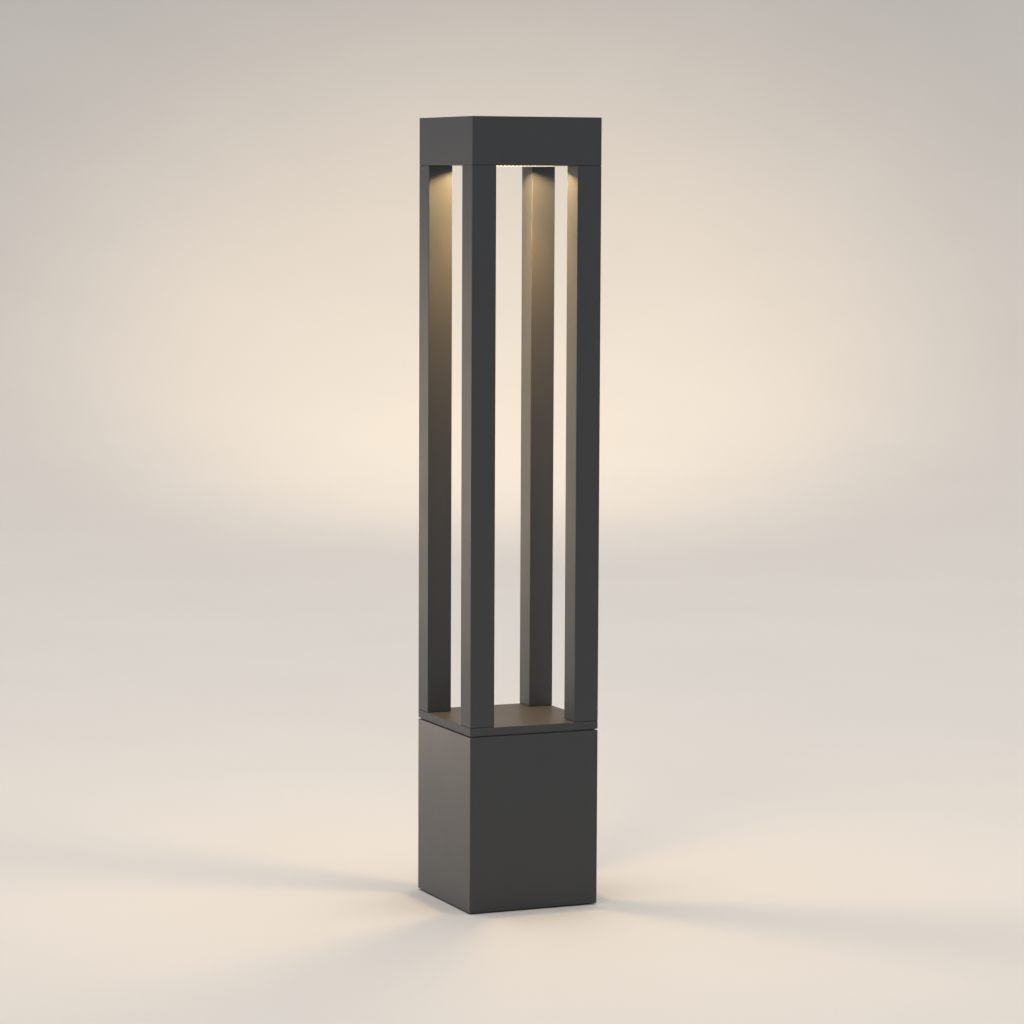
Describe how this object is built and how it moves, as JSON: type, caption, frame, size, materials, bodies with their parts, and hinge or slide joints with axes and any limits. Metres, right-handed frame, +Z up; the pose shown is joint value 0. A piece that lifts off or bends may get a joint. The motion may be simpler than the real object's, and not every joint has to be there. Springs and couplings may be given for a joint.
{
  "type": "bollard light",
  "caption": "Square garden bollard light: box base, shadow gap, thin plate, square corner posts and a head with a recessed downlight, on a screw-down ground plate.",
  "frame": {"origin": "middle of the ground plate's underside, on the ground", "axes": "+Z up along the posts; -Y is the front face; +X is the right-hand face"},
  "size_m": [0.14, 0.14, 0.796],
  "materials": {
    "graphite_powder_coat": "satin powder coat on aluminium, fine texture",
    "galvanised_steel": "hot-dip galvanised, dull",
    "stainless_fasteners": "stainless, turned",
    "bare_aluminium": "milled",
    "zinc_plated_sheet": "zinc plated",
    "black_rubber": "matt",
    "silicone_seal": "matt grey silicone",
    "opal_lens": "opal diffuser, satin",
    "reflector_white": "white, high reflectance",
    "board_white": "white solder mask",
    "phosphor": "phosphor-coated package",
    "connector_white": "moulded",
    "driver_white": "moulded",
    "circuit_green": "solder mask",
    "component_black": "moulded",
    "box_grey": "moulded",
    "gland_black": "moulded nylon",
    "terminal_cream": "moulded",
    "brass_screws": "turned",
    "lead_sheath": "matt sheath"
  },
  "bodies": {
    "ground_plate": {"ground_plate": "galvanised_steel"},
    "luminaire": {"base_housing": "graphite_powder_coat", "middle_plate": "graphite_powder_coat", "post_front_left": "graphite_powder_coat", "post_front_right": "graphite_powder_coat", "post_back_left": "graphite_powder_coat", "post_back_right": "graphite_powder_coat", "head_cap": "graphite_powder_coat", "head_floor_plate": "graphite_powder_coat", "housing_set_screws": "stainless_fasteners", "deck_screws": "stainless_fasteners", "tie_screws": "stainless_fasteners", "post_bottom_screws": "stainless_fasteners", "post_top_screws": "stainless_fasteners", "head_screws": "stainless_fasteners", "retaining_ring_screws": "stainless_fasteners", "led_board_screws": "stainless_fasteners", "heat_spreader_screws": "stainless_fasteners", "chassis_screws": "stainless_fasteners", "driver_screws": "stainless_fasteners", "junction_lid_screws": "stainless_fasteners", "junction_box_screws": "stainless_fasteners", "base_deck": "bare_aluminium", "heat_spreader": "bare_aluminium", "lens_retaining_ring": "bare_aluminium", "chassis_plate": "zinc_plated_sheet", "deck_grommet": "black_rubber", "head_grommet": "black_rubber", "gland_seals": "black_rubber", "head_gasket": "silicone_seal", "lens_gasket": "silicone_seal", "junction_box_gasket": "silicone_seal", "thermal_pad": "silicone_seal", "lens": "opal_lens", "reflector": "reflector_white", "led_board": "board_white", "led_chips": "phosphor", "led_connector": "connector_white", "driver_case": "driver_white", "driver_end_covers": "driver_white", "driver_board": "circuit_green", "driver_components": "component_black", "junction_box": "box_grey", "junction_box_lid": "box_grey", "gland_bodies": "gland_black", "gland_locknuts": "gland_black", "gland_domes": "gland_black", "terminal_block": "terminal_cream", "terminal_screws": "brass_screws", "earth_screw": "brass_screws", "mains_lead": "lead_sheath", "output_lead": "lead_sheath"}
  },
  "joints": [
    {"name": "lift_off", "type": "slide", "parent": "ground_plate", "child": "luminaire", "axis": [0, 0, 1], "range_m": [0, 0.045]}
  ]
}
